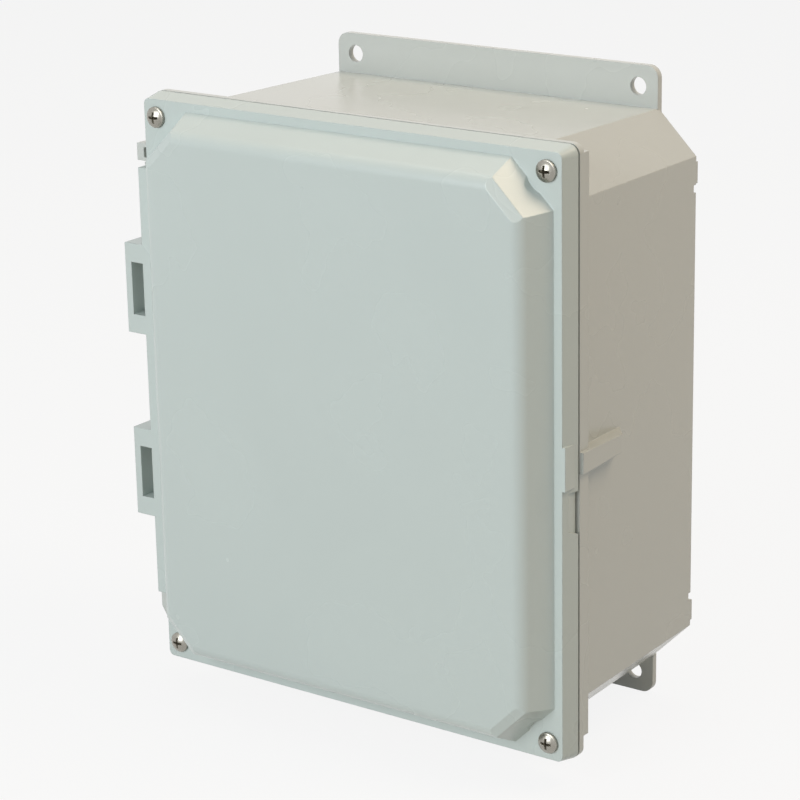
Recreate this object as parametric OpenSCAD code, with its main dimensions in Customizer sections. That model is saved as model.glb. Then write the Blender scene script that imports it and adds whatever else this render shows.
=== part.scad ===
// Hinged polycarbonate enclosure, wall mounted, four captive cover screws.
// Millimetres. +Z up, the cover faces -Y, the wall plane is y = 0.

/* [Base] */
// width of the front rim and the cover
rim_w = 221.7; // [160:0.1:320]
// height of the front rim and the cover
rim_h = 267.5; // [200:0.1:400]
// wall plane to the front face of the base
base_d = 104.8; // [60:0.1:200]
// thickness of the thin front lip
lip_t = 3.2; // [2:0.1:6]
// depth of the side rims and corner blocks
rim_d = 6.9; // [5:0.1:14]
// where the side rims end, up from the bottom edge
side_up = 9.75; // [4:0.05:40]
// how far the lip stands out from the walls
lip_out = 3.9; // [1:0.1:8]
// taper of each wall from front to back
draft = 2.4; // [0:0.1:6]
// corner chamfer leg of the tub
chamf = 20.4; // [8:0.1:40]
// wall thickness of the tub
wall_t = 3.5; // [2:0.1:6]
// floor thickness of the tub
floor_t = 3.4; // [2:0.1:6]
// corner radius of rim and cover outline
rim_r = 4.5; // [3:0.5:12]
// sealing tongue width
tongue_w = 1.6; // [1:0.1:3]
// sealing tongue height
tongue_h = 2.6; // [1:0.1:4]

/* [Back and flanges] */
// how far the back pads stand proud of the back
pad_h = 1.5; // [0.5:0.1:3]
// depth of the notches beside the pads
notch_d = 3.4; // [1:0.1:6]
// top of each pad, in from the upper or lower wall
pad_end = 23.85; // [10:0.05:60]
// pad length up and down
pad_l = 9.5; // [4:0.1:30]
// how far each pad and each notch runs in from the side wall
pad_w = 18.95; // [8:0.05:40]
notch_w = 8.95; // [4:0.05:20]
// notch length up and down
notch_l = 3.5; // [2:0.1:10]
// flange side in from the side wall
flange_in = 20.85; // [10:0.05:50]
// flange end past the upper and lower wall
flange_out = 16.15; // [12:0.05:40]
// flange thickness
flange_t = 3.2; // [2:0.1:8]
// flange corner radius
flange_r = 5.5; // [2:0.5:12]
// mounting hole centre to the flange side (152.4 between the holes)
mount_side = 9.9; // [7:0.05:20]
// mounting hole centre to the flange end (273.05 between the holes)
mount_end = 9.475; // [7:0.025:20]
// mounting hole diameter
mount_dia = 8; // [5:0.1:12]

/* [Cover] */
// space between cover and base
gap = 1.1; // [0.4:0.1:2]
// depth of the cover skirt
skirt_d = 9.3; // [6:0.1:16]
// inset of the skirt from back to front
skirt_in = 1.9; // [0:0.05:4]
// flat from the skirt edge to the panel foot
foot_in = 3.9; // [2:0.1:8]
// height of the raised panel
dome_h = 15; // [6:0.5:30]
// slope width of the raised panel
dome_w = 7.5; // [2:0.5:15]
// rounding of the long panel edges
dome_r = 7; // [2:0.5:10]
// corner facet leg of the raised panel
facet = 20; // [10:0.1:40]
// slope width of the corner facets over the whole height
facet_w = 6.4; // [2:0.1:15]
// width of the bevel along the facet tops
bevel_w = 4.1; // [1:0.1:8]
// height of the bevel along the facet tops
bevel_h = 2.5; // [0.5:0.1:4]
// cover wall thickness
cover_t = 3; // [2:0.1:5]
// radius of the scoop round each screw, at the flat
scoop_r = 10.3; // [8:0.1:16]
// how much wider the scoop is at the top of the panel
scoop_k = 2; // [0:0.1:8]
// gasket groove width
groove_w = 5; // [3:0.1:8]
// gasket groove depth
groove_d = 4; // [2:0.1:6]

/* [Hinge] */
// pin axis to the rim side
axis_out = 6.15; // [4:0.05:12]
// pin axis behind the base front
axis_in = 2.8; // [1:0.1:5]
// hinge pin diameter
pin_dia = 3.2; // [2:0.1:5]
// hinge pin length
pin_len = 63; // [50:1:90]
// radius of the base rail and knuckles
rail_r = 3.6; // [2.5:0.1:5]
// radius of the cover lugs behind the gap
lug_r = 5.2; // [4:0.1:6]
// hinge block centre above and below the middle
block_z = 43.6; // [30:0.1:80]
// hinge block height
block_h = 41.8; // [30:0.1:60]
// how far the blocks stand out past the pin axis
block_out = 7.5; // [5:0.1:12]
// window height in each block
window_h = 24.4; // [14:0.1:34]
// window width in each block
window_w = 8.1; // [5:0.1:12]
// outer bar of each block
bar_w = 3.5; // [2:0.1:5]
// hinge leaf end in from the top and bottom edges
leaf_end = 33.75; // [15:0.05:80]
// leaf edge past the rim side
leaf_out = 3.4; // [1:0.1:6]

/* [Latch side] */
// how far the wedge rib stands out past the rim side
rib_out = 1.65; // [0.5:0.05:4]
// top of the wedge rib above the middle
rib_top = 4.2; // [1:0.1:12]
// bottom of the wedge rib below the middle
rib_low = 5.2; // [1:0.1:12]
// how far the wedge rib runs back from the base front
rib_l = 38.8; // [10:0.1:80]
// top of the pull lug above the middle
lug_top = 8.9; // [4:0.1:20]
// bottom of the pull lug below the middle
lug_low = 10.2; // [4:0.1:20]
// height of the pry recess
pry_h = 18; // [8:0.5:40]
// depth of the pry recess
pry_d = 5.8; // [2:0.1:8]

/* [Fasteners] */
// cover screw centre to the rim side (204 between the screws)
screw_side = 8.85; // [7:0.05:14]
// cover screw centre to the top and bottom edges (248 between the screws)
screw_end = 9.75; // [7:0.05:14]
// screw head diameter
head_dia = 9.4; // [7:0.1:14]
// screw head height
head_h = 3.2; // [2:0.1:5]
// smooth shank diameter
shank_dia = 4.6; // [3:0.1:7]
// thread drawn at its root diameter
root_dia = 3.9; // [2.5:0.1:6]
// insert bore drawn at the outside thread diameter
bore_dia = 4.82; // [3:0.01:7]
// length of screw inside the insert
engaged = 5.2; // [3:0.1:6]
// insert outside diameter
insert_dia = 6.6; // [5:0.1:10]
// corner insert length
insert_l = 6.6; // [4:0.1:12]
// panel boss centre to the side wall (158.8 between the bosses)
panel_side = 27.55; // [16:0.05:60]
// panel boss centre to the upper and lower wall (209.6 between the bosses)
panel_end = 25.05; // [16:0.05:60]
// panel boss height above the floor
boss_h = 9; // [4:0.5:20]

/* [Hidden] */
$fn = 48;
e = 0.01;
rx = rim_w / 2;
rz = rim_h / 2;
wx = rx - lip_out;
wz = rz - lip_out;
ws = wx + wz - chamf;
side_lo = rz - side_up;
flange_x = wx - flange_in;
flange_z = wz + flange_out;
mount_x = 2 * (flange_x - mount_side);
mount_z = 2 * (flange_z - mount_end);
screw_x = rim_w - 2 * screw_side;
screw_z = rim_h - 2 * screw_end;
panel_x = 2 * (wx - panel_side);
panel_z = 2 * (wz - panel_end);
pad_z = wz - pad_end;
yb = -base_d;
yc = yb - gap;
yf = yc - skirt_d;
yt = yf - dome_h;
yr = yb + rim_d;
fx = rx - skirt_in - foot_in;
fz = rz - skirt_in - foot_in;
fs = fx + fz - facet;
tx = wx - wall_t / 2;
tz = wz - wall_t / 2;
ts = ws - wall_t / sqrt(2);
ax = -rx - axis_out;
ay = yb + axis_in;
pin_r = pin_dia / 2;
run_gap = 0.08;
end_gap = 0.4;
leaf_h = rz - leaf_end;
leaf_lo = -leaf_h - 1.5;
// ears past the ends of the hinge leaf: reach past the pin axis, bar and ring sizes
ear_out = 6.5;
ear_bar = 1.6;
ear_h = 8.2;
neck_r = 1.75;
ring_t = 1;

// ---- helpers -------------------------------------------------------------
// box from corner a to corner b
module span(a, b) {
  translate(a) cube(b - a);
}
// 2D outline drawn in x and y, run along z over +-h
module along_z(h) {
  translate([0, 0, -h]) linear_extrude(2 * h) children();
}
// 2D outline drawn in (z, y), run along x over +-h
module along_x(h) {
  rotate([0, -90, 0]) translate([0, 0, -h]) linear_extrude(2 * h) children();
}
// 2D outline drawn in (x, z), run from y0 to y1
module along_y(y0, y1) {
  translate([0, y1, 0]) rotate([90, 0, 0]) linear_extrude(y1 - y0) children();
}
// disc or ring bore along y
module rod(x, z, y0, y1, r) {
  translate([x, y1, z]) rotate([90, 0, 0]) cylinder(h = y1 - y0, r = r);
}
// rod along z
module post(x, y, z0, z1, r) {
  translate([x, y, z0]) cylinder(h = z1 - z0, r = r);
}
// symmetric trapezoid, half width a at y0 and b at y1
module trap(a, y0, b, y1) {
  polygon([[-a, y0], [a, y0], [b, y1], [-b, y1]]);
}
// eight-sided tub: half sizes x, z and corner sum s at y0, shrunk by k at y1
module tub(x, z, s, y0, k, y1) {
  d = s / sqrt(2);
  intersection() {
    along_z(z + 1) trap(x, y0, x - k, y1);
    along_x(x + 1) trap(z, y0, z - k, y1);
    rotate([0, 45, 0]) along_z(x + z) trap(d, y0, d - k, y1);
    rotate([0, -45, 0]) along_z(x + z) trap(d, y0, d - k, y1);
  }
}
// rounded rectangle outline
module round_rect(x, z, r) {
  square([2 * x, 2 * (z - r)], center = true);
  square([2 * (x - r), 2 * z], center = true);
  for (i = [-1, 1], k = [-1, 1]) translate([i * (x - r), k * (z - r)]) circle(r);
}
// slab with a rounded outline whose sides lean in by k from y1 to y0
module lean_slab(x, z, r, y0, y1, k) {
  along_z(z - r) trap(x - k, y0, x, y1);
  along_x(x - r) trap(z - k, y0, z, y1);
  for (i = [-1, 1], j = [-1, 1])
    translate([i * (x - r), y1, j * (z - r)]) rotate([90, 0, 0]) cylinder(h = y1 - y0, r1 = r, r2 = r - k);
}
// raised panel section: foot half width a, slope w, height h, edge rounding r
module panel_section(a, w, h, r, y) {
  t = atan2(h, w);
  g = r * tan(t / 2);
  c = a - w - g;
  intersection() {
    polygon([[-a, y], [a, y], [a - w, y - h], [w - a, y - h]]);
    union() {
      polygon([[-a, y], [a, y], [a - w + g * cos(t), y - h + g * sin(t)], [c, y - h + r],
               [-c, y - h + r], [w - a - g * cos(t), y - h + g * sin(t)]]);
      polygon([[-c, y - h], [c, y - h], [c, y], [-c, y]]);
      for (i = [-1, 1]) translate([i * c, y - h + r]) circle(r, $fn = 96);
    }
  }
}
// corner facet section: foot half width d, slope w over height h, bevel bw wide and bh high
module facet_section(d, w, h, bw, bh, y) {
  q = w * (h - bh) / h;
  polygon([[-d, y], [d, y], [d - q, y - h + bh], [d - q - bw, y - h], [q + bw - d, y - h], [q - d, y - h + bh]]);
}
// raised panel: foot half sizes x, z and corner sum s, height h, long-edge rounding r
module panel_body(x, z, s, h, r, y) {
  d = s / sqrt(2);
  intersection() {
    along_z(z + 1) panel_section(x, dome_w, h, r, y);
    along_x(x + 1) panel_section(z, dome_w, h, r, y);
    rotate([0, 45, 0]) along_z(x + z) facet_section(d, facet_w, h, bevel_w, bevel_h, y);
    rotate([0, -45, 0]) along_z(x + z) facet_section(d, facet_w, h, bevel_w, bevel_h, y);
  }
}
// the four corners as [sign x, sign z]
module corners(px, pz) {
  for (i = [-1, 1], k = [-1, 1]) translate([i * px / 2, 0, k * pz / 2]) children();
}
module quarter(i, k, px, pz) {
  translate([i * px / 2, 0, k * pz / 2]) children();
}
// box given in the upper right corner, set in the corner i, k
module wall_block(i, k, x0, x1, y0, y1, z0, z1) {
  span([i > 0 ? x0 : -x1, y0, k > 0 ? z0 : -z1], [i > 0 ? x1 : -x0, y1, k > 0 ? z1 : -z0]);
}

// ---- base ----------------------------------------------------------------
module insert_body(y0, l) {
  rod(0, 0, y0, y0 + l, insert_dia / 2);
  rod(0, 0, y0 + 0.8, y0 + 2.4, insert_dia / 2 + 0.25);
  rod(0, 0, y0 + l - 2.4, y0 + l - 0.8, insert_dia / 2 + 0.25);
}
// block behind the lip that carries a corner insert
module corner_block(i, k) {
  out = i * (k > 0 ? rx : wx + 1);
  low = k * (ws - wx - 2);
  along_y(yb, yr) polygon([[out, k * wz], [out, low], [i * (wx - 2), low],
    [i * (ws - wz - 2), k * (wz - 2)], [i * (ws - wz - 2), k * wz]]);
}
// side rim, cut off at a slope above the lower corner
module side_rim(i) {
  along_y(yb, yr) polygon([[i * (wx - 3), wz], [i * rx, wz], [i * rx, -side_lo],
    [i * wx, -side_lo - 2], [i * (wx - 3), -side_lo - 2]]);
}
// wedge rib on the latch wall: its outer face runs in to the wall at the far end
module wedge_rib() {
  x1 = rx + rib_out;
  y1 = yb + rib_l;
  intersection() {
    along_z(rib_top + rib_low) polygon([[wx - 3, yb + 0.3], [x1, yb + 0.3], [x1, y1 - 8],
      [wx - 0.9, y1], [wx - 3, y1]]);
    along_x(x1) polygon([[-rib_low, yb], [rib_top, yb], [rib_top, y1], [1.8 - rib_low, y1]]);
  }
}
module flange_plate(k) {
  z0 = wz - draft - 4;
  z1 = flange_z;
  x1 = flange_x;
  along_y(-flange_t, 0) {
    translate([-x1, k > 0 ? z0 : flange_r - z1]) square([2 * x1, z1 - flange_r - z0]);
    translate([flange_r - x1, k > 0 ? z0 : -z1]) square([2 * (x1 - flange_r), z1 - z0]);
    for (i = [-1, 1]) translate([i * (x1 - flange_r), k * (z1 - flange_r)]) circle(flange_r);
  }
}
// rail round the pin axis with its web to the rim
module rail(z0, z1) {
  post(ax, ay, z0, z1, rail_r);
  span([ax, ay - axis_in + 0.3, z0], [-rx + 1, ay + 1, z1]);
}
module hinge_side() {
  b0 = block_z - block_h / 2 - end_gap;
  b1 = block_z + block_h / 2 + end_gap;
  w = window_h / 2 - end_gap;
  rail(b1, leaf_h - 0.5);
  rail(block_z - w, block_z + w);
  rail(-b0, b0);
  rail(-block_z - w, -block_z + w);
  rail(leaf_lo + 0.5, -b1);
  // top ear: a small ring past the end of the leaf
  difference() {
    span([ax - ear_out, yb, leaf_h + end_gap], [-rx + 1, yr, leaf_h + ear_h]);
    span([ax - ear_out + 3.9, yb - 1, leaf_h + end_gap + ear_bar], [-rx, yr + 1, leaf_h + ear_h - ear_bar]);
  }
  // bottom ear with a sloping end
  along_y(yb, yr) polygon([[-rx + 1, leaf_lo - end_gap], [ax + 2 - ear_out, leaf_lo - end_gap],
    [ax + 2 - ear_out, leaf_lo - 12], [ax + 1, leaf_lo - 21], [-rx + 1, leaf_lo - 23]]);
}
module base_solid() {
  // tub
  tub(wx, wz, ws, yb + 1, draft, -pad_h);
  // thin lip and the side rims behind it
  along_y(yb, yb + lip_t) round_rect(rx, rz, rim_r);
  for (i = [-1, 1]) side_rim(i);
  for (i = [-1, 1], k = [-1, 1]) corner_block(i, k);
  // sealing tongue
  difference() {
    tub(tx + tongue_w / 2, tz + tongue_w / 2, ts + tongue_w / sqrt(2), yb - tongue_h, 0, yb + 1);
    tub(tx - tongue_w / 2, tz - tongue_w / 2, ts - tongue_w / sqrt(2), yb - tongue_h - 1, 0, yb + 2);
  }
  for (k = [-1, 1]) flange_plate(k);
  // back pads near the corners
  for (i = [-1, 1], k = [-1, 1])
    wall_block(i, k, wx - pad_w, wx - draft - 0.1, -6, 0, pad_z - pad_l, pad_z);
  wedge_rib();
  hinge_side();
}
module enclosure_base() color([0.75, 0.77, 0.74]) {
  difference() {
    base_solid();
    tub(wx - wall_t, wz - wall_t, ws - wall_t * sqrt(2), yb - 4, draft, -pad_h - floor_t);
    corners(screw_x, screw_z) insert_body(yb, insert_l);
    corners(screw_x, screw_z) rod(0, 0, yb + insert_l - 1, yr + 1, root_dia / 2);
    corners(mount_x, mount_z) rod(0, 0, -flange_t - 1, 1, mount_dia / 2);
    // notches in the back edges beside the pads
    for (i = [-1, 1], k = [-1, 1])
      wall_block(i, k, wx - notch_w, wx + 5, -notch_d, 1, pad_z - pad_l - 0.5 - notch_l, pad_z - pad_l - 0.5);
    for (k = [-1, 1]) post(ax, ay, k * block_z - pin_len / 2, k * block_z + pin_len / 2, pin_r);
  }
  // panel bosses with ribs to the floor
  difference() {
    union() {
      corners(panel_x, panel_z) rod(0, 0, -pad_h - floor_t - boss_h, -pad_h - 1, 6);
      for (i = [-1, 1], k = [-1, 1]) {
        span([i * panel_x / 2 - 1, -pad_h - floor_t - boss_h + 2, k * panel_z / 2 - 11],
             [i * panel_x / 2 + 1, -pad_h - 1, k * panel_z / 2 + 11]);
        span([i * panel_x / 2 - 11, -pad_h - floor_t - boss_h + 2, k * panel_z / 2 - 1],
             [i * panel_x / 2 + 11, -pad_h - 1, k * panel_z / 2 + 1]);
      }
    }
    corners(panel_x, panel_z) insert_body(-pad_h - floor_t - boss_h, boss_h);
    corners(panel_x, panel_z) rod(0, 0, -pad_h - floor_t - boss_h - 1, -pad_h - 2, root_dia / 2);
  }
}

// ---- cover ---------------------------------------------------------------
module hinge_block(z) {
  x0 = ax - block_out;
  h = block_h / 2;
  difference() {
    union() {
      span([x0, yf, z - h], [-rx + 3, yc, z + h]);
      span([x0, yc - 1, z - h], [ax + 4.7, ay + 0.8, z + h]);
      post(ax, ay, z - h, z + h, lug_r);
    }
    span([x0 + bar_w, yf - 1, z - window_h / 2], [x0 + bar_w + window_w, 0, z + window_h / 2]);
    // behind the gap only the outer bar crosses the window
    span([x0 + bar_w, yc, z - window_h / 2], [ax + 9, 0, z + window_h / 2]);
    post(ax, ay, z - h - 1, z + h + 1, pin_r + run_gap);
  }
}
module cover_solid() {
  lean_slab(rx, rz, rim_r, yf, yc, skirt_in);
  panel_body(fx, fz, fs, dome_h, dome_r, yf + e);
  // hinge leaf
  span([-rx - leaf_out, yf, leaf_lo], [-rx + 4, yc, leaf_h]);
  // pull lug: an undrafted pad on the latch side
  span([fx + 0.4, yf, -lug_low], [rx - 0.4, yc - 0.8, lug_top]);
}
module cover() color([0.77, 0.79, 0.76]) {
  difference() {
    cover_solid();
    // inside of the raised panel and of the skirt
    panel_body(fx - 4.6, fz - 4.6, fs - 6.6, dome_h + 2, dome_r - 2, yf + 2 + cover_t);
    tub(tx - groove_w / 2 - 2.4, tz - groove_w / 2 - 2.4, ts - (groove_w / 2 + 2.4) * sqrt(2), yf + 4, 0, yc + 1);
    // gasket groove
    difference() {
      tub(tx + groove_w / 2, tz + groove_w / 2, ts + groove_w / sqrt(2), yc - groove_d, 0, yc + 1);
      tub(tx - groove_w / 2, tz - groove_w / 2, ts - groove_w / sqrt(2), yc - groove_d - 1, 0, yc + 2);
    }
    // screw holes with a counterbore from the back for the retaining ring
    corners(screw_x, screw_z) rod(0, 0, yf - 1, yc, shank_dia / 2 + 0.45);
    corners(screw_x, screw_z) rod(0, 0, yf + 1.6, yc + 1, 4.1);
    // scoops that give the screws room
    corners(screw_x, screw_z) translate([0, yf, 0]) rotate([90, 0, 0])
      cylinder(h = dome_h + e, r1 = scoop_r, r2 = scoop_r + scoop_k);
    // pry recess in the back edge, its lower end at a slope
    translate([rx - 1.5, 0, -lug_low - 1.8]) rotate([90, 0, 90]) linear_extrude(5)
      polygon([[yc - pry_d, 0], [yc + 1, 0], [yc + 1, -pry_h - 1.2], [yc - pry_d, 1.1 - pry_h]]);
    // clearance for the base knuckles behind the windows
    for (k = [-1, 1]) post(ax, ay, k * block_z - window_h / 2, k * block_z + window_h / 2, rail_r + 0.4);
  }
  for (k = [-1, 1]) hinge_block(k * block_z);
}
module cover_gasket() color([0.2, 0.2, 0.2]) {
  m = groove_w / 2 - 0.1;
  difference() {
    tub(tx + m, tz + m, ts + m * sqrt(2), yc - groove_d, 0, yb - tongue_h - 0.05);
    tub(tx - m, tz - m, ts - m * sqrt(2), yc - groove_d - 1, 0, yb);
  }
}

// ---- hardware ------------------------------------------------------------
module hinge_pin(z) color([0.72, 0.72, 0.72]) {
  post(ax, ay, z - pin_len / 2 + 0.4, z + pin_len / 2 - 0.4, pin_r);
  translate([ax, ay, z + pin_len / 2 - 0.4]) cylinder(h = 0.4, r1 = pin_r, r2 = pin_r - 0.4);
  translate([ax, ay, z - pin_len / 2]) cylinder(h = 0.4, r1 = pin_r - 0.4, r2 = pin_r);
}
module screw(i, k) color([0.7, 0.7, 0.68]) {
  hr = head_dia / 2;
  cap = head_h - 1.3;
  br = (hr * hr + cap * cap) / (2 * cap);
  tip = yb + engaged;
  quarter(i, k, screw_x, screw_z) difference() {
    union() {
      rod(0, 0, yf - 1.3, yf, hr);
      intersection() {
        rod(0, 0, yf - head_h, yf - 1.3 + e, hr);
        translate([0, yf - head_h + br, 0]) rotate([90, 0, 0]) sphere(r = br, $fn = 96);
      }
      rod(0, 0, yf - 1, yc - 2.4, shank_dia / 2);
      rod(0, 0, yc - 2.5, yc - 1.1, neck_r);
      rod(0, 0, yc - 1.2, tip - 0.6, root_dia / 2);
      translate([0, tip - 0.6, 0]) rotate([-90, 0, 0]) cylinder(h = 0.6, r1 = root_dia / 2, r2 = root_dia / 2 - 0.6);
    }
    // cross recess
    span([-2.7, yf - head_h - 1, -0.55], [2.7, yf - 1.5, 0.55]);
    span([-0.55, yf - head_h - 1, -2.7], [0.55, yf - 1.5, 2.7]);
    translate([0, yf - head_h, 0]) rotate([-90, 0, 0]) cylinder(h = 2.6, r1 = 1.5, r2 = 0.3);
  }
}
module retainer(i, k) color([0.9, 0.9, 0.88]) {
  quarter(i, k, screw_x, screw_z) difference() {
    rod(0, 0, yc - 2.3, yc - 2.3 + ring_t, 3.7);
    rod(0, 0, yc - 3, yc, neck_r + 0.05);
  }
}
module corner_insert(i, k) color([0.8, 0.65, 0.3]) {
  quarter(i, k, screw_x, screw_z) difference() {
    insert_body(yb, insert_l);
    rod(0, 0, yb - 1, yb + insert_l + 1, bore_dia / 2);
  }
}
module panel_insert(i, k) color([0.8, 0.65, 0.3]) {
  y0 = -pad_h - floor_t - boss_h;
  quarter(i, k, panel_x, panel_z) difference() {
    insert_body(y0, boss_h);
    rod(0, 0, y0 - 1, y0 + boss_h + 1, bore_dia / 2 - 0.3);
  }
}

enclosure_base();
cover();
cover_gasket();
hinge_pin(block_z);  // hinge_pin_upper
hinge_pin(-block_z);  // hinge_pin_lower
screw(-1, 1);  // cover_screw_ul
screw(1, 1);  // cover_screw_ur
screw(-1, -1);  // cover_screw_ll
screw(1, -1);  // cover_screw_lr
retainer(-1, 1);  // screw_retainer_ul
retainer(1, 1);  // screw_retainer_ur
retainer(-1, -1);  // screw_retainer_ll
retainer(1, -1);  // screw_retainer_lr
corner_insert(-1, 1);  // corner_insert_ul
corner_insert(1, 1);  // corner_insert_ur
corner_insert(-1, -1);  // corner_insert_ll
corner_insert(1, -1);  // corner_insert_lr
panel_insert(-1, 1);  // panel_insert_ul
panel_insert(1, 1);  // panel_insert_ur
panel_insert(-1, -1);  // panel_insert_ll
panel_insert(1, -1);  // panel_insert_lr
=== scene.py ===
"""Looks, stage and camera of the hinged polycarbonate enclosure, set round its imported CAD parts."""

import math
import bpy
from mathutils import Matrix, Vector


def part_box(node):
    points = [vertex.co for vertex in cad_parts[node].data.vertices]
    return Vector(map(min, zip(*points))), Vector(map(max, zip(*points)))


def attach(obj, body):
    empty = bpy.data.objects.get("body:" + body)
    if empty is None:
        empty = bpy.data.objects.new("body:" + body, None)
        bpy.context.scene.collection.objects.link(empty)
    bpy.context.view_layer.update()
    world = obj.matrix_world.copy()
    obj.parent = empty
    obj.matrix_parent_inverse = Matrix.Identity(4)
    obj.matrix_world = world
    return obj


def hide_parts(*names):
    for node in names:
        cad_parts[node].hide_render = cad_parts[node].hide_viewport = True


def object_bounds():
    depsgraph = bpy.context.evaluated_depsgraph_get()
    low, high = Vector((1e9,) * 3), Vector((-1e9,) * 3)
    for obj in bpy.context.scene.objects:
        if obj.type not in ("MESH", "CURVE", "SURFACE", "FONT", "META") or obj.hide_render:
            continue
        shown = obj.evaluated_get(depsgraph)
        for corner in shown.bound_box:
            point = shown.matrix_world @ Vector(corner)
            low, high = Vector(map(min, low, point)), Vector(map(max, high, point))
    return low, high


bl_info = {
    "name": "Hinged Polycarbonate Enclosure",
    "version": (1, 0, 0),
    "blender": (4, 5, 0),
    "location": "View3D > Sidebar > Enclosure",
    "description": "Finishes a wall-mount enclosure with moulded plastic, screws, inserts and a foam gasket",
    "category": "Object",
}

import bpy
import numpy as np
from mathutils import Matrix, Vector

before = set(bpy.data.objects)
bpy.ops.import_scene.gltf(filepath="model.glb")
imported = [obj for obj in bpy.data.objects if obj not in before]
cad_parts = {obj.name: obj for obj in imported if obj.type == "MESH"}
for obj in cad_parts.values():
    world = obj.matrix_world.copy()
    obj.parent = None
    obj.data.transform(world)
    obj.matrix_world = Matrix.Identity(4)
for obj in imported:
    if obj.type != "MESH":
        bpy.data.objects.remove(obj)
CAD_BOX = [list(corner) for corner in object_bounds()]
MM = 0.001
CORNERS = ("ul", "ur", "ll", "lr")
# bore radius in millimetres of each group of inserts
BORES = {"corner_insert_": 2.41, "panel_insert_": 2.11}
# bend radius of the gasket at its corners, in metres
GASKET_BEND = 3 * MM
# the floor's half size and its drop below the part, in metres, and the share of its light that is its own
FLOOR_HALF, FLOOR_DROP, FLOOR_GLOW = 6.0, 0.0005, 0.88
# where the camera stands, in metres, and its lens shift
CAMERA_SPOT = (0.69771, -1.03036, 0.37235)
CAMERA_SHIFT = (-0.0112, 0.0156)


# ---- settings --------------------------------------------------------------
def length(name, default_mm, description):
    """A size the user can change, kept in metres."""
    return bpy.props.FloatProperty(
        name=name, default=default_mm * MM, min=0.0, unit="LENGTH", subtype="DISTANCE",
        description=description,
    )


def colour(name, default, description):
    """An sRGB hex colour the user can change."""
    return bpy.props.StringProperty(name=name, default=default, description=description)


def bearing(name, degrees, description):
    """An angle the user can change, kept in radians."""
    return bpy.props.FloatProperty(
        name=name, default=math.radians(degrees), subtype="ANGLE", description=description
    )


def power(name, watts, description):
    """A lamp's power that the user can change."""
    return bpy.props.FloatProperty(name=name, default=watts, subtype="POWER", description=description)


class EnclosureColours(bpy.types.PropertyGroup):
    base: colour("Base", "#C9CDC8", "Light grey moulded polycarbonate of the base")
    cover: colour("Cover", "#C6D0CC", "Light grey moulded polycarbonate of the cover")
    gasket: colour("Gasket", "#26282A", "Foamed polyurethane gasket")
    steel: colour("Screws", "#A19E95", "Stainless steel of screws and pins")
    brass: colour("Inserts", "#C9A65A", "Turned brass inserts")
    nylon: colour("Retainers", "#E4E0D4", "Natural nylon retaining rings")
    floor: colour("Floor", "#C9C9C6", "Painted floor")


class EnclosureSizes(bpy.types.PropertyGroup):
    edge: length("Edge rounding", 0.6, "Radius that the mould leaves on outer edges")
    pitch: length("Thread pitch", 0.79375, "Pitch of the No. 10-32 thread")
    crest: length("Thread crest radius", 2.36, "Outer radius of the screw thread")
    recess: length("Cross recess reach", 2.55, "Reach of each wing of the cross recess")
    gasket_width: length("Gasket width", 4.8, "Width of the foam strip in its groove")
    gasket_corner: length("Gasket corner leg", 18.35, "Corner chamfer leg of the strip's centre line")
    knurl_depth: length("Knurl depth", 0.25, "Height of the knurl on the inserts")


class EnclosureStage(bpy.types.PropertyGroup):
    azimuth: bearing("Azimuth", 36.04, "Camera angle round the enclosure")
    elevation: bearing("Elevation", 17.71, "Camera angle above level")
    roll: bearing("Roll", -1.073, "Camera turn about its own axis")
    lens: bpy.props.FloatProperty(name="Lens", default=126.07, unit="CAMERA", description="Focal length")
    ambient: bpy.props.FloatProperty(name="Ambient", default=0.2, description="Strength of the room light")
    key: power("Key", 10.0, "Power of the warm key lamp")
    front: power("Front", 23.6, "Power of the cool front lamp")
    top: power("Top", 9.1, "Power of the overhead lamp")


def settings():
    scene = bpy.context.scene
    return scene.enclosure_colours, scene.enclosure_sizes, scene.enclosure_stage


# ---- materials -------------------------------------------------------------
def linear(code):
    """sRGB hex to linear RGBA: c / 12.92 below 0.04045, else ((c + 0.055) / 1.055) ^ 2.4."""
    parts = [int(code[i : i + 2], 16) / 255 for i in (1, 3, 5)]
    return tuple(c / 12.92 if c <= 0.04045 else ((c + 0.055) / 1.055) ** 2.4 for c in parts) + (1.0,)


def shade(rgba, share):
    """The same colour with its light scaled by share."""
    return tuple(min(1.0, c * share) for c in rgba[:3]) + (1.0,)


def add(tree, kind, inputs=None, **values):
    """Adds a node and sets its values, then its inputs: a socket is linked, anything else is a default."""
    node = tree.nodes.new(kind)
    for key, value in values.items():
        setattr(node, key, value)
    for key, value in (inputs or {}).items():
        if isinstance(value, bpy.types.NodeSocket):
            tree.links.new(value, node.inputs[key])
        else:
            node.inputs[key].default_value = value
    return node


def blend(tree, factor, base, low, high):
    """The base colour with its light scaled from low to high as factor goes from 0 to 1."""
    inputs = {"Factor": factor, 6: shade(base, low), 7: shade(base, high)}
    return add(tree, "ShaderNodeMix", inputs, data_type="RGBA").outputs[2]


def seen_directly(tree):
    """1 on rays of the eye, of reflections and through clear bodies, and 0 on all others."""
    path = add(tree, "ShaderNodeLightPath")
    seen = path.outputs["Is Camera Ray"]
    for ray in ("Is Glossy Ray", "Is Transmission Ray"):
        seen = add(tree, "ShaderNodeMath", {0: seen, 1: path.outputs[ray]}, operation="MAXIMUM").outputs[0]
    return seen


def start(name):
    """A new material with an empty tree: returns the material, its tree and the object coordinates."""
    made = bpy.data.materials.new(name)
    made.use_nodes = True
    tree = made.node_tree
    tree.nodes.clear()
    return made, tree, add(tree, "ShaderNodeTexCoord").outputs["Object"]


def close(tree, **inputs):
    """Ends a tree with one Principled shader that takes the given inputs."""
    named = {key.replace("_", " "): value for key, value in inputs.items()}
    shader = add(tree, "ShaderNodeBsdfPrincipled", named)
    add(tree, "ShaderNodeOutputMaterial", {"Surface": shader.outputs[0]})


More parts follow.
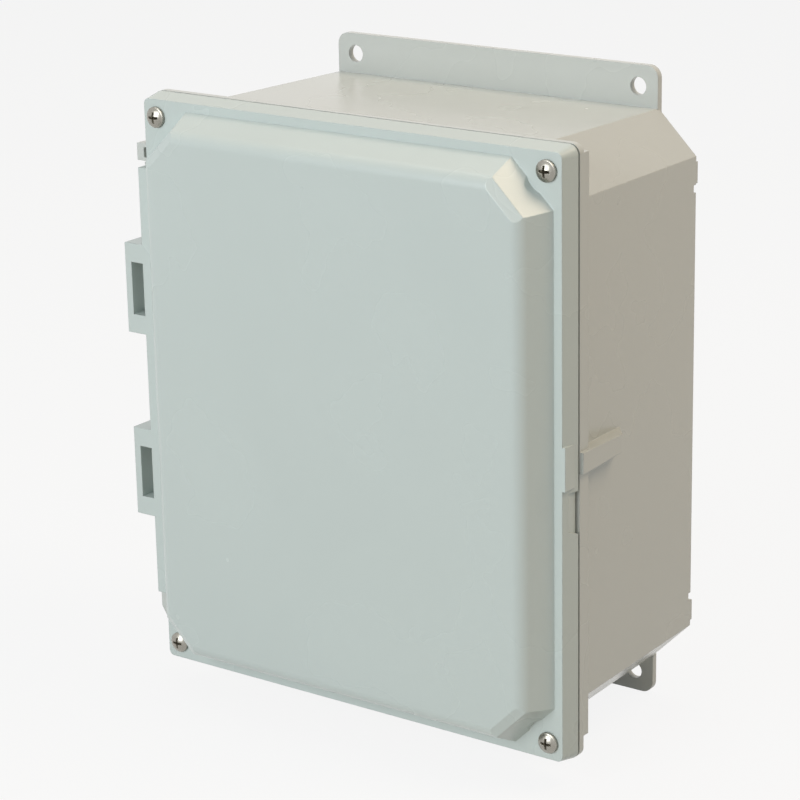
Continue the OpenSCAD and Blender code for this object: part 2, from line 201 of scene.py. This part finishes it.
def moulded_polycarbonate(name, code, edge):
    """Polycarbonate injection moulded in a polished tool with a light satin stone finish.

    The eye sees an even pale grey, soft cloudy drift of shade across a wall, a faint orange-peel
    ripple in the reflections and small bright lines where the mould rounds the edges, partly
    shaded by the rounding and partly a painted highlight in the colour.
    """
    made, tree, where = start(name)
    base = linear(code)
    # drift of shade: clouds about 60 mm across
    cloud = add(tree, "ShaderNodeTexNoise", {"Vector": where, "Scale": 16.0, "Detail": 3.0, "Roughness": 0.5})
    tint = blend(tree, cloud.outputs["Fac"], base, 0.975, 1.025)
    # fine stone texture of the tool: 0.05 mm in truth, drawn at 0.5 mm so that it shows
    grain = add(
        tree, "ShaderNodeTexNoise", {"Vector": where, "Scale": 2000.0, "Detail": 2.0, "Roughness": 0.6}
    )
    # orange peel: ripples 4 mm apart
    peel = add(tree, "ShaderNodeTexNoise", {"Vector": where, "Scale": 250.0, "Detail": 1.0, "Roughness": 0.4})
    # rounded edges, then how far the rounding turns the surface marks the edges; these are painted lighter, a
    # painted highlight that also stands for the polish hands give them
    rounding = add(tree, "ShaderNodeBevel", {"Radius": edge}, samples=6)
    facing = add(tree, "ShaderNodeNewGeometry")
    turned = add(
        tree,
        "ShaderNodeVectorMath",
        {0: rounding.outputs["Normal"], 1: facing.outputs["Normal"]},
        operation="DOT_PRODUCT",
    )
    edge_wear_and_highlight = add(
        tree,
        "ShaderNodeMapRange",
        {"Value": turned.outputs["Value"], "From Min": 1.0, "From Max": 0.75, "To Min": 0.0, "To Max": 1.0},
    )
    # every rounded edge painted 10 percent lighter than the base: a painted highlight along the edges, also
    # standing for light wear
    rubbed_and_highlit = add(
        tree,
        "ShaderNodeMix",
        {"Factor": edge_wear_and_highlight.outputs[0], 6: tint, 7: shade(base, 1.1)},
        data_type="RGBA",
    )
    gloss = add(
        tree,
        "ShaderNodeMapRange",
        {"Value": cloud.outputs["Fac"], "From Min": 0.3, "From Max": 0.7, "To Min": 0.22, "To Max": 0.3},
    )
    ripple = add(
        tree,
        "ShaderNodeBump",
        {
            "Strength": 0.03,
            "Distance": 0.0004,
            "Height": peel.outputs["Fac"],
            "Normal": rounding.outputs["Normal"],
        },
    )
    skin = add(
        tree,
        "ShaderNodeBump",
        {
            "Strength": 0.04,
            "Distance": 0.00008,
            "Height": grain.outputs["Fac"],
            "Normal": ripple.outputs["Normal"],
        },
    )
    close(
        tree,
        Base_Color=rubbed_and_highlit.outputs[2],
        Roughness=gloss.outputs[0],
        IOR=1.585,
        Normal=skin.outputs["Normal"],
    )
    return made


def foamed_polyurethane(name, code):
    """Polyurethane foamed in place: a soft closed skin, charcoal, with fine cells that break up the light."""
    made, tree, where = start(name)
    base = linear(code)
    # foam cells of 0.4 mm
    cells = add(tree, "ShaderNodeTexVoronoi", {"Vector": where, "Scale": 2500.0, "Randomness": 1.0})
    swell = add(tree, "ShaderNodeTexNoise", {"Vector": where, "Scale": 180.0, "Detail": 3.0})
    tint = blend(tree, swell.outputs["Fac"], base, 0.8, 1.35)
    skin = add(
        tree, "ShaderNodeBump", {"Strength": 0.35, "Distance": 0.0002, "Height": cells.outputs["Distance"]}
    )
    close(tree, Base_Color=tint, Roughness=0.82, IOR=1.5, Sheen_Weight=0.1, Normal=skin.outputs["Normal"])
    return made


def turned_metal(name, code, rough, line_mm):
    """Metal turned or cold headed, then tumbled: a fine noise bump at the tool's line size and soft dents
    vary the gloss.
    """
    made, tree, where = start(name)
    base = linear(code)
    # tool marks: noise of the given line size, the same in all directions; the screw axis lies along y
    lathe = add(tree, "ShaderNodeTexNoise", {"Vector": where, "Scale": 1.0 / (line_mm * MM), "Detail": 2.0})
    tumble = add(tree, "ShaderNodeTexNoise", {"Vector": where, "Scale": 900.0, "Detail": 3.0})
    tint = blend(tree, tumble.outputs["Fac"], base, 0.86, 1.08)
    gloss = add(
        tree,
        "ShaderNodeMapRange",
        {
            "Value": tumble.outputs["Fac"],
            "From Min": 0.3,
            "From Max": 0.7,
            "To Min": rough - 0.06,
            "To Max": rough + 0.08,
        },
    )
    skin = add(
        tree, "ShaderNodeBump", {"Strength": 0.12, "Distance": 0.00006, "Height": lathe.outputs["Fac"]}
    )
    close(tree, Base_Color=tint, Metallic=1.0, Roughness=gloss.outputs[0], Normal=skin.outputs["Normal"])
    return made


def natural_nylon(name, code):
    """Nylon punched from extruded sheet: milky, a little light passes into it, with a dull waxy gloss."""
    made, tree, where = start(name)
    base = linear(code)
    milk = add(tree, "ShaderNodeTexNoise", {"Vector": where, "Scale": 700.0, "Detail": 2.0})
    tint = blend(tree, milk.outputs["Fac"], base, 0.94, 1.04)
    close(
        tree,
        Base_Color=tint,
        Roughness=0.42,
        IOR=1.53,
        Subsurface_Weight=0.15,
        Subsurface_Radius=(0.001, 0.001, 0.001),
    )
    return made


def white_for_the_eye(name, code, share):
    """Matt painted board whose light is part its own, kept level for the camera and for reflections."""
    made, tree, where = start(name)
    base = linear(code)
    dust = add(tree, "ShaderNodeTexNoise", {"Vector": where, "Scale": 3.0, "Detail": 2.0})
    tint = blend(tree, dust.outputs["Fac"], base, 0.995, 1.005)
    matt = add(tree, "ShaderNodeBsdfDiffuse", {"Color": tint})
    own = add(tree, "ShaderNodeEmission", {"Color": (1.0, 1.0, 1.0, 1.0), "Strength": 1.0})
    part = add(tree, "ShaderNodeMath", {0: seen_directly(tree), 1: share}, operation="MULTIPLY")
    mixed = add(tree, "ShaderNodeMixShader", {0: part.outputs[0], 1: matt.outputs[0], 2: own.outputs[0]})
    add(tree, "ShaderNodeOutputMaterial", {"Surface": mixed.outputs[0]})
    return made


# ---- surfaces --------------------------------------------------------------
def grid_faces(rows, columns, close_rows):
    """Corner numbers of a grid's quads, by row and column; columns close on themselves and rows may."""
    r = np.arange(rows if close_rows else rows - 1)[:, None]
    c = np.arange(columns)[None, :]
    r1, c1 = (r + 1) % rows, (c + 1) % columns
    quads = np.stack([r * columns + c, r1 * columns + c, r1 * columns + c1, r * columns + c1], axis=-1)
    return quads.reshape(-1, 4)


def put_mesh(name, points, quads, caps=()):
    """Makes an object at the origin from an array of points, an array of quads and lists of cap corners."""
    mesh = bpy.data.meshes.new(name)
    counts = np.concatenate([np.full(len(quads), 4), [len(cap) for cap in caps]]).astype(np.int32)
    corners = np.concatenate([quads.ravel()] + [np.asarray(cap) for cap in caps]).astype(np.int32)
    mesh.vertices.add(len(points))
    mesh.vertices.foreach_set("co", np.ascontiguousarray(points, np.float32).ravel())
    mesh.loops.add(len(corners))
    mesh.loops.foreach_set("vertex_index", corners)
    mesh.polygons.add(len(counts))
    mesh.polygons.foreach_set("loop_start", np.concatenate([[0], np.cumsum(counts)[:-1]]).astype(np.int32))
    mesh.polygons.foreach_set("use_smooth", np.ones(len(counts), bool))
    mesh.update(calc_edges=True)
    mesh.validate()
    made = bpy.data.objects.new(name, mesh)
    bpy.context.scene.collection.objects.link(made)
    return made


def sharpen(piece, degrees):
    """Marks edges sharper than the given angle, so that flat faces stay flat."""
    piece.data.set_sharp_from_angle(angle=math.radians(degrees))


def finish_piece(piece, node, material, body):
    """Gives a new piece its material and its body, and hides the CAD node that it stands for."""
    piece.data.materials.clear()
    piece.data.materials.append(material)
    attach(piece, body)
    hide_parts(node)


def triangle(t):
    """Triangle wave of period 1, from 0 at whole t to 1 half way between."""
    return 1.0 - np.abs(2.0 * (t - np.floor(t)) - 1.0)


def along(points, steps):
    """Points of a profile of straight sides, each side cut into its number of steps, corners kept."""
    parts = []
    for (a, b), n in zip(zip(points[:-1], points[1:]), steps):
        t = np.linspace(0.0, 1.0, n, endpoint=False)[:, None]
        parts.append(np.asarray(a) * (1 - t) + np.asarray(b) * t)
    parts.append(np.asarray(points[-1])[None, :])
    return np.concatenate(parts)


def cross_depth(x, z, reach):
    """Depth of a cross recess: each wing is a channel with leaning walls that gets shallower outwards.

    depth = the larger, over both wings, of min(2.35 - 0.42 d, 3.2 (w - s), 3.2 (reach - d)) in millimetres,
    d the distance along the wing, s the distance from its middle and w = 0.66 - 0.06 d; never below 0.
    """

    def wing(d, s):
        floor = 2.35 - 0.42 * d
        wall = 3.2 * (0.66 - 0.06 * d - s)
        end = 3.2 * (reach - d)
        return np.minimum(np.minimum(floor, wall), end)

    ax, az = np.abs(x), np.abs(z)
    return np.clip(np.maximum(wing(ax, az), wing(az, ax)), 0.0, None)


def screw_points(head, tip, pitch, crest, reach):
    """Cover screw turned about the y axis, in millimetres, head top at 0.

    The profile goes from the crown's middle over the rim, shank, neck and thread to the tip. In the thread
    the radius is the root plus the crest height times a triangle wave of (depth / pitch - angle / turn).
    The crown is a sphere cap, lowered by the cross recess.
    """
    cap = 1.9
    ball = (head * head + cap * cap) / (2 * cap)
    root, shank, neck = 1.95, 2.3, 1.75
    crown_r = np.concatenate([np.linspace(0.08, reach + 0.1, 30), np.linspace(reach + 0.25, head - 0.35, 8)])
    crown = np.stack([ball - np.sqrt(ball**2 - crown_r**2), crown_r], axis=1)
    turn = np.linspace(0.15, 0.5 * math.pi, 6)
    rim = np.stack([crown[-1, 0] + 0.55 * (1 - np.cos(turn)), head - 0.35 + 0.35 * np.sin(turn)], axis=1)
    # depths of the head's underside, the ends of shank and neck, the thread's first turn and its full height
    seat, shank_end, neck_end, run_in, thread_start = 3.2, 10.1, 11.3, 12.0, 13.7
    rest = along(
        [(seat - 0.3, head), (seat, head - 0.2), (seat, shank), (shank_end, shank), (shank_end + 0.1, neck),
         (neck_end, neck), (neck_end + 0.3, root), (run_in + 0.3, root), (thread_start, root),
         (tip - 0.7, root), (tip, root - 0.6)],
        [1, 2, 4, 3, 1, 2, 1, 2, 16, 56, 3],
    )
    profile = np.concatenate([crown, rim, rest])
    columns = 72
    angle = np.linspace(0.0, 2 * math.pi, columns, endpoint=False)[None, :]
    depth = np.repeat(profile[:, :1], columns, axis=1)
    radius = np.repeat(profile[:, 1:], columns, axis=1)
    fade = np.clip((depth - run_in) / 1.2, 0, 1) * np.clip((tip - 0.15 - depth) / 0.9, 0, 1)
    radius = radius + (crest - root) * fade * triangle(depth / pitch - angle / (2 * math.pi))
    x, z = radius * np.cos(angle), radius * np.sin(angle)
    head_top = (np.arange(len(profile)) < len(crown))[:, None]
    depth = depth + np.where(head_top, cross_depth(x, z, reach), 0.0)
    return np.stack([x, depth, z], axis=-1), columns


def insert_points(long, bore, outer, knurl, pitch):
    """Threaded insert about the y axis, in millimetres, face at 0: a closed profile loop turned once round.

    The bore's radius is its own plus 0.33 times a triangle wave of (depth / pitch - angle / turn). Two bands
    on the outside carry a straight knurl, knurl times a triangle wave of 36 teeth a turn. The mouth has a
    small chamfer.
    """
    thread_depth, teeth_a_turn = 0.33, 36
    inner = along(
        [(0.0, bore + 0.4), (0.4, bore), (long - 0.3, bore), (long, bore + 0.3)], [2, int(long * 9), 2]
    )
    band = [0.8, 2.4, long - 2.4, long - 0.8]
    out = along(
        [(long, outer - 0.2), (long - 0.2, outer), (band[3], outer), (band[2], outer), (band[1], outer),
         (band[0], outer), (0.2, outer), (0.0, outer - 0.2)],
        [1, 1, 4, 1, 4, 1, 1],
    )
    profile = np.concatenate([inner, out])
    columns = 72
    angle = np.linspace(0.0, 2 * math.pi, columns, endpoint=False)[None, :]
    depth = np.repeat(profile[:, :1], columns, axis=1)
    radius = np.repeat(profile[:, 1:], columns, axis=1)
    inside = (np.arange(len(profile)) < len(inner))[:, None]
    cut = np.clip(depth / 0.5, 0, 1) * np.clip((long - depth) / 0.5, 0, 1)
    thread = thread_depth * cut * triangle(depth / pitch - angle / (2 * math.pi))
    banded = ((depth > band[0]) & (depth < band[1])) | ((depth > band[2]) & (depth < band[3]))
    teeth = np.where(banded, knurl * triangle(teeth_a_turn * angle / (2 * math.pi)), 0.0)
    radius = radius + np.where(inside, thread, teeth)
    return np.stack([radius * np.cos(angle), depth, radius * np.sin(angle)], axis=-1), columns


def octagon_path(x, z, leg, radius, per_corner):
    """Closed path round a rectangle with cut corners: its points and outward normals.

    Each of the eight corners of 45 degrees is an arc whose centre lies radius inside both sides; the sides
    between are straight.
    """
    s = x + z - leg
    lines = [(x, 0.0), (s / math.sqrt(2), 45.0), (z, 90.0), (s / math.sqrt(2), 135.0)]
    lines += [(d, a + 180.0) for d, a in lines]
    points, normals = [], []
    for i, (d0, a0) in enumerate(lines):
        d1, a1 = lines[(i + 1) % 8]
        n0 = np.array([math.cos(math.radians(a0)), math.sin(math.radians(a0))])
        n1 = np.array([math.cos(math.radians(a1)), math.sin(math.radians(a1))])
        centre = np.linalg.solve(np.stack([n0, n1]), np.array([d0 - radius, d1 - radius]))
        turn = np.radians(np.linspace(a0, a0 + 45.0, per_corner))
        normal = np.stack([np.cos(turn), np.sin(turn)], axis=1)
        points.append(centre + radius * normal)
        normals.append(normal)
    return np.concatenate(points), np.concatenate(normals)


def gasket_points(x, z, leg, low, high, width):
    """Foam strip: a D section carried round the octagon path.

    The section's foot lies flat in the groove; its top is low + (high - low) (0.45 + 0.55 sqrt(1 - s^2)),
    with s from -1 to 1 across the width.
    """
    path, normal = octagon_path(x, z, leg, GASKET_BEND, 9)
    s = np.sin(np.linspace(-0.5 * math.pi, 0.5 * math.pi, 15))
    across = np.concatenate([s, [1.0, 0.0, -1.0]]) * width / 2
    height = np.concatenate([low + (high - low) * (0.45 + 0.55 * np.sqrt(1 - s**2)), [low, low, low]])
    spot = path[:, None, :] + normal[:, None, :] * across[None, :, None]
    y = np.repeat(height[None, :], len(path), axis=0)
    return np.stack([spot[..., 0], y, spot[..., 1]], axis=-1), len(across)


def dress(node, material):
    """Gives a solid that keeps its shape its material."""
    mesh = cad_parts[node].data
    mesh.materials.clear()
    mesh.materials.append(material)


# ---- operators -------------------------------------------------------------
class ENCLOSURE_OT_mouldings(bpy.types.Operator):
    """Finishes the base and the cover as moulded polycarbonate"""

    bl_idname = "enclosure.mouldings"
    bl_label = "Mouldings"

    def execute(self, context):
        colours, sizes, _ = settings()
        looks = {
            "enclosure_base": moulded_polycarbonate("polycarbonate_moulded_base", colours.base, sizes.edge),
            "cover": moulded_polycarbonate("polycarbonate_moulded_cover", colours.cover, sizes.edge),
        }
        for node, look in looks.items():
            dress(node, look)
        return {"FINISHED"}


class ENCLOSURE_OT_hardware(bpy.types.Operator):
    """Finishes the hinge pins and the retaining rings"""

    bl_idname = "enclosure.hardware"
    bl_label = "Pins and rings"

    def execute(self, context):
        colours, _, _ = settings()
        steel = turned_metal("stainless_steel_ground_pin", colours.steel, 0.24, 0.2)
        nylon = natural_nylon("nylon_punched_ring", colours.nylon)
        looks = {"hinge_pin_upper": steel, "hinge_pin_lower": steel}
        looks.update({"screw_retainer_" + corner: nylon for corner in CORNERS})
        for node, look in looks.items():
            dress(node, look)
        return {"FINISHED"}


class ENCLOSURE_OT_cover_screws(bpy.types.Operator):
    """Makes the four captive cover screws with cross recess and thread"""

    bl_idname = "enclosure.cover_screws"
    bl_label = "Cover screws"

    def execute(self, context):
        colours, sizes, _ = settings()
        steel = turned_metal("stainless_steel_cold_headed", colours.steel, 0.27, 0.15)
        for corner in CORNERS:
            node = "cover_screw_" + corner
            low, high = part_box(node)
            head = (high.x - low.x) / 2 / MM
            points, columns = screw_points(
                head, (high.y - low.y) / MM, sizes.pitch / MM, sizes.crest / MM, sizes.recess / MM
            )
            rows = len(points)
            centre = np.array([(low.x + high.x) / 2, low.y, (low.z + high.z) / 2])
            first, last = np.arange(columns)[::-1], (rows - 1) * columns + np.arange(columns)
            piece = put_mesh(
                "cover_screw_" + corner + "_steel",
                points.reshape(-1, 3) * MM + centre,
                grid_faces(rows, columns, False)[:, ::-1],
                [first[::-1], last[::-1]],
            )
            sharpen(piece, 35)
            finish_piece(piece, node, steel, "screw_" + corner)
        return {"FINISHED"}


class ENCLOSURE_OT_inserts(bpy.types.Operator):
    """Makes the brass inserts in the corners and in the panel bosses, knurled outside and threaded inside"""

    bl_idname = "enclosure.inserts"
    bl_label = "Brass inserts"

    def execute(self, context):
        colours, sizes, _ = settings()
        brass = turned_metal("brass_turned_insert", colours.brass, 0.3, 0.15)
        for group, bore in BORES.items():
            for corner in CORNERS:
                node = group + corner
                low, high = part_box(node)
                outer = (high.x - low.x) / 2 / MM - sizes.knurl_depth / MM
                points, columns = insert_points(
                    (high.y - low.y) / MM, bore, outer, sizes.knurl_depth / MM, sizes.pitch / MM
                )
                centre = np.array([(low.x + high.x) / 2, low.y, (low.z + high.z) / 2])
                quads = grid_faces(len(points), columns, True)
                piece = put_mesh(node + "_brass", points.reshape(-1, 3) * MM + centre, quads)
                sharpen(piece, 35)
                finish_piece(piece, node, brass, "base")
        return {"FINISHED"}


class ENCLOSURE_OT_gasket(bpy.types.Operator):
    """Makes the foam gasket in the cover's groove"""

    bl_idname = "enclosure.gasket"
    bl_label = "Foam gasket"

    def execute(self, context):
        colours, sizes, _ = settings()
        low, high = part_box("cover_gasket")
        half = sizes.gasket_width / 2
        points, columns = gasket_points(
            high.x - half, high.z - half, sizes.gasket_corner, low.y, high.y, sizes.gasket_width
        )
        piece = put_mesh("foam_gasket", points.reshape(-1, 3), grid_faces(len(points), columns, True))
        sharpen(piece, 50)
        foam = foamed_polyurethane("polyurethane_foamed_in_place", colours.gasket)
        finish_piece(piece, "cover_gasket", foam, "cover")
        return {"FINISHED"}


def lamp(name, spot, aim, size, power, rgb):
    """Soft square lamp at spot, turned to aim."""
    data = bpy.data.lights.new(name, "AREA")
    data.shape, data.size, data.energy, data.color = "SQUARE", size, power, rgb
    made = bpy.data.objects.new(name, data)
    made.location = spot
    made.rotation_euler = (Vector(aim) - Vector(spot)).to_track_quat("-Z", "Y").to_euler()
    bpy.context.scene.collection.objects.link(made)
    return made


class ENCLOSURE_OT_stage(bpy.types.Operator):
    """Sets the floor, the backdrop, the soft lamps, the room light and the camera"""

    bl_idname = "enclosure.stage"
    bl_label = "Stage"

    def execute(self, context):
        colours, _, stage = settings()
        low = CAD_BOX[0]
        outline = np.array([[-1, -1, 0], [1, -1, 0], [1, 1, 0], [-1, 1, 0]], float) * FLOOR_HALF
        outline += np.array([0, 0, low[2] - FLOOR_DROP])
        floor = put_mesh("studio_floor", outline, np.array([[0, 1, 2, 3]]))
        floor.data.materials.append(white_for_the_eye("paint_matt_white_board", colours.floor, FLOOR_GLOW))
        aim = (0, -0.05, 0)
        lamp("key_softbox", (0.9, 0.25, 1.25), aim, 0.7, stage.key, (1.00, 0.80, 0.59))
        lamp("front_softbox", (-0.3, -1.9, 0.6), aim, 1.2, stage.front, (0.93, 0.97, 1.00))
        lamp("top_softbox", (-0.3, 0.1, 1.8), aim, 1.2, stage.top, (1.00, 0.97, 0.93))
        self.room(context.scene, stage)
        self.camera(context.scene, stage)
        return {"FINISHED"}

    def room(self, scene, stage):
        """Level light from all round; the eye and reflections see white."""
        world = bpy.data.worlds.new("studio_room")
        world.use_nodes = True
        tree = world.node_tree
        tree.nodes.clear()
        levels = {"Value": seen_directly(tree), "To Min": stage.ambient, "To Max": 1.0}
        strength = add(tree, "ShaderNodeMapRange", levels)
        sky = add(
            tree, "ShaderNodeBackground", {"Color": (1.0, 1.0, 1.0, 1.0), "Strength": strength.outputs[0]}
        )
        add(tree, "ShaderNodeOutputWorld", {"Surface": sky.outputs[0]})
        scene.world = world
        scene.view_settings.view_transform = "Standard"

    def camera(self, scene, stage):
        """Camera on a sphere round the enclosure, rolled a little about its own axis."""
        az, el, roll = stage.azimuth, stage.elevation, stage.roll
        back = Vector((math.sin(az) * math.cos(el), -math.cos(az) * math.cos(el), math.sin(el)))
        side = Vector((math.cos(az), math.sin(az), 0.0))
        up = back.cross(side)
        turned_side = math.cos(roll) * side + math.sin(roll) * up
        turned_up = back.cross(turned_side)
        data = bpy.data.cameras.new("product_camera")
        data.lens, data.sensor_width = stage.lens, 36.0
        data.shift_x, data.shift_y = CAMERA_SHIFT
        data.clip_start, data.clip_end = 0.05, 50.0
        made = bpy.data.objects.new("product_camera", data)
        turn = Matrix((turned_side, turned_up, back)).transposed()
        made.matrix_world = Matrix.Translation(Vector(CAMERA_SPOT)) @ turn.to_4x4()
        scene.collection.objects.link(made)
        scene.camera = made


class ENCLOSURE_PT_panel(bpy.types.Panel):
    bl_label = "Enclosure"
    bl_idname = "ENCLOSURE_PT_panel"
    bl_space_type = "VIEW_3D"
    bl_region_type = "UI"
    bl_category = "Enclosure"

    def draw(self, context):
        for group in settings():
            box = self.layout.box()
            for key in group.__annotations__:
                box.prop(group, key)
        for operator in OPERATORS:
            self.layout.operator(operator.bl_idname)


GROUPS = (EnclosureColours, EnclosureSizes, EnclosureStage)
OPERATORS = (
    ENCLOSURE_OT_mouldings,
    ENCLOSURE_OT_hardware,
    ENCLOSURE_OT_cover_screws,
    ENCLOSURE_OT_inserts,
    ENCLOSURE_OT_gasket,
    ENCLOSURE_OT_stage,
)


def register():
    for made in GROUPS + OPERATORS + (ENCLOSURE_PT_panel,):
        bpy.utils.register_class(made)
    bpy.types.Scene.enclosure_colours = bpy.props.PointerProperty(type=EnclosureColours)
    bpy.types.Scene.enclosure_sizes = bpy.props.PointerProperty(type=EnclosureSizes)
    bpy.types.Scene.enclosure_stage = bpy.props.PointerProperty(type=EnclosureStage)


def unregister():
    del bpy.types.Scene.enclosure_stage
    del bpy.types.Scene.enclosure_sizes
    del bpy.types.Scene.enclosure_colours
    for made in reversed(GROUPS + OPERATORS + (ENCLOSURE_PT_panel,)):
        bpy.utils.unregister_class(made)


def main():
    register()
    for operator in OPERATORS:
        group, name = operator.bl_idname.split(".")
        getattr(getattr(bpy.ops, group), name)()


if __name__ == "__main__":
    main()
